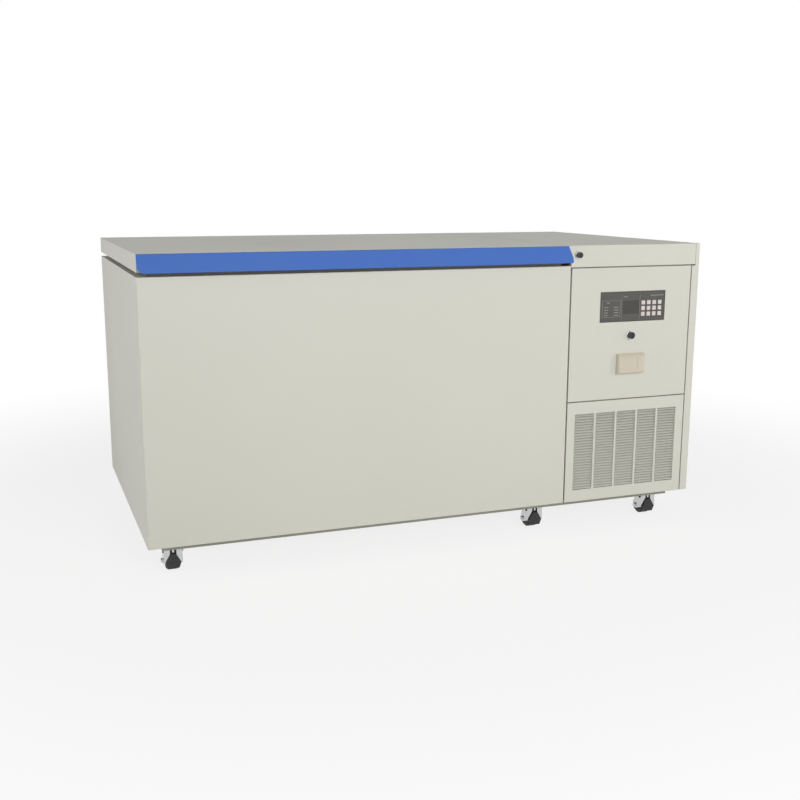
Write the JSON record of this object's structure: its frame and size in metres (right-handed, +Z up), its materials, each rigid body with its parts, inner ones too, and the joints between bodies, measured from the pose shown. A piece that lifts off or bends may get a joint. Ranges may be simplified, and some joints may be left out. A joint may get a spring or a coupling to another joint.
{
  "type": "chest ultra low temperature freezer",
  "caption": "Long insulated chest with a hinged lid and full width blue handle strip, a louvred machine bay with keypad at its right end, on swivel casters.",
  "frame": {"origin": "on the floor under the middle of the whole freezer's box, handle and hinges included", "axes": "+X to the right along the chest's length, +Y from the front to the back, +Z up"},
  "size_m": [1.93, 1.124, 0.993],
  "materials": {
    "cabinet_paint": "satin powder coat",
    "throat_plastic": "satin",
    "liner_steel": "brushed",
    "tube_copper": "drawn tube",
    "foam": "rigid foam",
    "lid_inner_plastic": "satin",
    "gasket_rubber": "matt",
    "handle_blue": "satin",
    "hinge_steel": "zinc plated",
    "base_paint": "satin",
    "frame_paint": "matt",
    "fascia_plastic": "matt film",
    "display_glass": "clear window over a pale display",
    "case_plastic": "matt",
    "lock_chrome": "polished",
    "lock_black": "satin",
    "logger_plastic": "satin",
    "caster_chrome": "bright plated",
    "condenser_aluminium": "mill",
    "fan_plastic": "matt",
    "compressor_paint": "gloss black enamel",
    "gland_plastic": "matt",
    "key_plastic": "satin",
    "wheel_nylon": "satin",
    "pedal_black": "satin"
  },
  "bodies": {
    "cabinet": {"outer_shell": "cabinet_paint", "throat_frame": "throat_plastic", "inner_liner": "liner_steel", "evaporator_coil": "tube_copper", "insulation_foam": "foam", "hinge_brackets": "hinge_steel", "base_frame": "base_paint", "front_frame": "frame_paint", "side_panel": "cabinet_paint", "top_cover": "cabinet_paint", "control_panel": "cabinet_paint", "front_grille_panel": "cabinet_paint", "rear_panel": "cabinet_paint", "control_fascia": "fascia_plastic", "display_window": "display_glass", "controller_case": "case_plastic", "lock_collars": "lock_chrome", "data_logger": "logger_plastic", "caster_plates": "caster_chrome", "condenser": "condenser_aluminium", "fan_shroud": "case_plastic", "compressors": "compressor_paint", "pipework": "tube_copper", "power_gland": "gland_plastic"},
    "lid": {"lid_shell": "cabinet_paint", "lid_inner_panel": "lid_inner_plastic", "lid_foam": "foam", "lid_gasket": "gasket_rubber", "lid_handle": "handle_blue", "hinge_arms": "hinge_steel"},
    "lid_lock": {"lid_lock_cylinder": "lock_black"},
    "power_key": {"power_key_cylinder": "lock_black"},
    "fan": {"condenser_fan": "fan_plastic"},
    "key_1_1": {"key_1_1": "key_plastic"},
    "key_1_2": {"key_1_2": "key_plastic"},
    "key_1_3": {"key_1_3": "key_plastic"},
    "key_1_4": {"key_1_4": "key_plastic"},
    "key_2_1": {"key_2_1": "key_plastic"},
    "key_2_2": {"key_2_2": "key_plastic"},
    "key_2_3": {"key_2_3": "key_plastic"},
    "key_2_4": {"key_2_4": "key_plastic"},
    "key_3_1": {"key_3_1": "key_plastic"},
    "key_3_2": {"key_3_2": "key_plastic"},
    "key_3_3": {"key_3_3": "key_plastic"},
    "key_3_4": {"key_3_4": "key_plastic"},
    "fork_1": {"caster_fork_1": "caster_chrome"},
    "wheel_1": {"caster_wheel_1": "wheel_nylon"},
    "fork_2": {"caster_fork_2": "caster_chrome"},
    "wheel_2": {"caster_wheel_2": "wheel_nylon"},
    "fork_3": {"caster_fork_3": "caster_chrome"},
    "wheel_3": {"caster_wheel_3": "wheel_nylon"},
    "fork_4": {"caster_fork_4": "caster_chrome"},
    "wheel_4": {"caster_wheel_4": "wheel_nylon"},
    "fork_5": {"caster_fork_5": "caster_chrome"},
    "wheel_5": {"caster_wheel_5": "wheel_nylon"},
    "fork_6": {"caster_fork_6": "caster_chrome"},
    "wheel_6": {"caster_wheel_6": "wheel_nylon"},
    "pedal_1": {"brake_pedal_1": "pedal_black"},
    "pedal_2": {"brake_pedal_2": "pedal_black"},
    "pedal_3": {"brake_pedal_3": "pedal_black"}
  },
  "joints": [
    {"name": "lid_hinge", "type": "hinge", "parent": "cabinet", "child": "lid", "pos_m": [-0.255, 0.55, 0.933], "axis": [-1, 0, 0], "range_deg": [0, 85]},
    {"name": "lid_lock_turn", "type": "hinge", "parent": "cabinet", "child": "lid_lock", "pos_m": [0.481, -0.522, 0.962], "axis": [0, 1, 0], "range_deg": [0, 90]},
    {"name": "power_key_turn", "type": "hinge", "parent": "cabinet", "child": "power_key", "pos_m": [0.695, -0.522, 0.683], "axis": [0, 1, 0], "range_deg": [0, 90]},
    {"name": "brake_1", "type": "hinge", "parent": "fork_1", "child": "pedal_1", "pos_m": [-0.882, -0.447, 0.068], "axis": [-1, 0, 0], "range_deg": [0, 15]},
    {"name": "wheel_roll_1", "type": "hinge", "parent": "fork_1", "child": "wheel_1", "pos_m": [-0.882, -0.417, 0.031], "axis": [1, 0, 0], "continuous": true},
    {"name": "swivel_1", "type": "hinge", "parent": "cabinet", "child": "fork_1", "pos_m": [-0.882, -0.425, 0.08], "axis": [0, 0, 1], "continuous": true},
    {"name": "fan_spin", "type": "hinge", "parent": "cabinet", "child": "fan", "pos_m": [0.71, -0.385, 0.253], "axis": [0, 1, 0], "continuous": true},
    {"name": "press_key_1_1", "type": "slide", "parent": "cabinet", "child": "key_1_1", "axis": [0, 1, 0], "range_m": [0, 0.001], "stiffness_N_per_m": 400},
    {"name": "brake_2", "type": "hinge", "parent": "fork_2", "child": "pedal_2", "pos_m": [0.38, -0.447, 0.068], "axis": [-1, 0, 0], "range_deg": [0, 15]},
    {"name": "wheel_roll_2", "type": "hinge", "parent": "fork_2", "child": "wheel_2", "pos_m": [0.38, -0.417, 0.031], "axis": [1, 0, 0], "continuous": true},
    {"name": "swivel_2", "type": "hinge", "parent": "cabinet", "child": "fork_2", "pos_m": [0.38, -0.425, 0.08], "axis": [0, 0, 1], "continuous": true},
    {"name": "brake_3", "type": "hinge", "parent": "fork_3", "child": "pedal_3", "pos_m": [0.847, -0.447, 0.068], "axis": [-1, 0, 0], "range_deg": [0, 15]},
    {"name": "wheel_roll_3", "type": "hinge", "parent": "fork_3", "child": "wheel_3", "pos_m": [0.847, -0.417, 0.031], "axis": [1, 0, 0], "continuous": true},
    {"name": "swivel_3", "type": "hinge", "parent": "cabinet", "child": "fork_3", "pos_m": [0.847, -0.425, 0.08], "axis": [0, 0, 1], "continuous": true},
    {"name": "wheel_roll_4", "type": "hinge", "parent": "fork_4", "child": "wheel_4", "pos_m": [-0.882, 0.436, 0.031], "axis": [1, 0, 0], "continuous": true},
    {"name": "swivel_4", "type": "hinge", "parent": "cabinet", "child": "fork_4", "pos_m": [-0.882, 0.428, 0.08], "axis": [0, 0, 1], "continuous": true},
    {"name": "wheel_roll_5", "type": "hinge", "parent": "fork_5", "child": "wheel_5", "pos_m": [0.38, 0.436, 0.031], "axis": [1, 0, 0], "continuous": true},
    {"name": "swivel_5", "type": "hinge", "parent": "cabinet", "child": "fork_5", "pos_m": [0.38, 0.428, 0.08], "axis": [0, 0, 1], "continuous": true},
    {"name": "wheel_roll_6", "type": "hinge", "parent": "fork_6", "child": "wheel_6", "pos_m": [0.847, 0.436, 0.031], "axis": [1, 0, 0], "continuous": true},
    {"name": "swivel_6", "type": "hinge", "parent": "cabinet", "child": "fork_6", "pos_m": [0.847, 0.428, 0.08], "axis": [0, 0, 1], "continuous": true},
    {"name": "press_key_1_2", "type": "slide", "parent": "cabinet", "child": "key_1_2", "axis": [0, 1, 0], "range_m": [0, 0.001], "stiffness_N_per_m": 400},
    {"name": "press_key_1_3", "type": "slide", "parent": "cabinet", "child": "key_1_3", "axis": [0, 1, 0], "range_m": [0, 0.001], "stiffness_N_per_m": 400},
    {"name": "press_key_1_4", "type": "slide", "parent": "cabinet", "child": "key_1_4", "axis": [0, 1, 0], "range_m": [0, 0.001], "stiffness_N_per_m": 400},
    {"name": "press_key_2_1", "type": "slide", "parent": "cabinet", "child": "key_2_1", "axis": [0, 1, 0], "range_m": [0, 0.001], "stiffness_N_per_m": 400},
    {"name": "press_key_2_2", "type": "slide", "parent": "cabinet", "child": "key_2_2", "axis": [0, 1, 0], "range_m": [0, 0.001], "stiffness_N_per_m": 400},
    {"name": "press_key_2_3", "type": "slide", "parent": "cabinet", "child": "key_2_3", "axis": [0, 1, 0], "range_m": [0, 0.001], "stiffness_N_per_m": 400},
    {"name": "press_key_2_4", "type": "slide", "parent": "cabinet", "child": "key_2_4", "axis": [0, 1, 0], "range_m": [0, 0.001], "stiffness_N_per_m": 400},
    {"name": "press_key_3_1", "type": "slide", "parent": "cabinet", "child": "key_3_1", "axis": [0, 1, 0], "range_m": [0, 0.001], "stiffness_N_per_m": 400},
    {"name": "press_key_3_2", "type": "slide", "parent": "cabinet", "child": "key_3_2", "axis": [0, 1, 0], "range_m": [0, 0.001], "stiffness_N_per_m": 400},
    {"name": "press_key_3_3", "type": "slide", "parent": "cabinet", "child": "key_3_3", "axis": [0, 1, 0], "range_m": [0, 0.001], "stiffness_N_per_m": 400},
    {"name": "press_key_3_4", "type": "slide", "parent": "cabinet", "child": "key_3_4", "axis": [0, 1, 0], "range_m": [0, 0.001], "stiffness_N_per_m": 400}
  ]
}
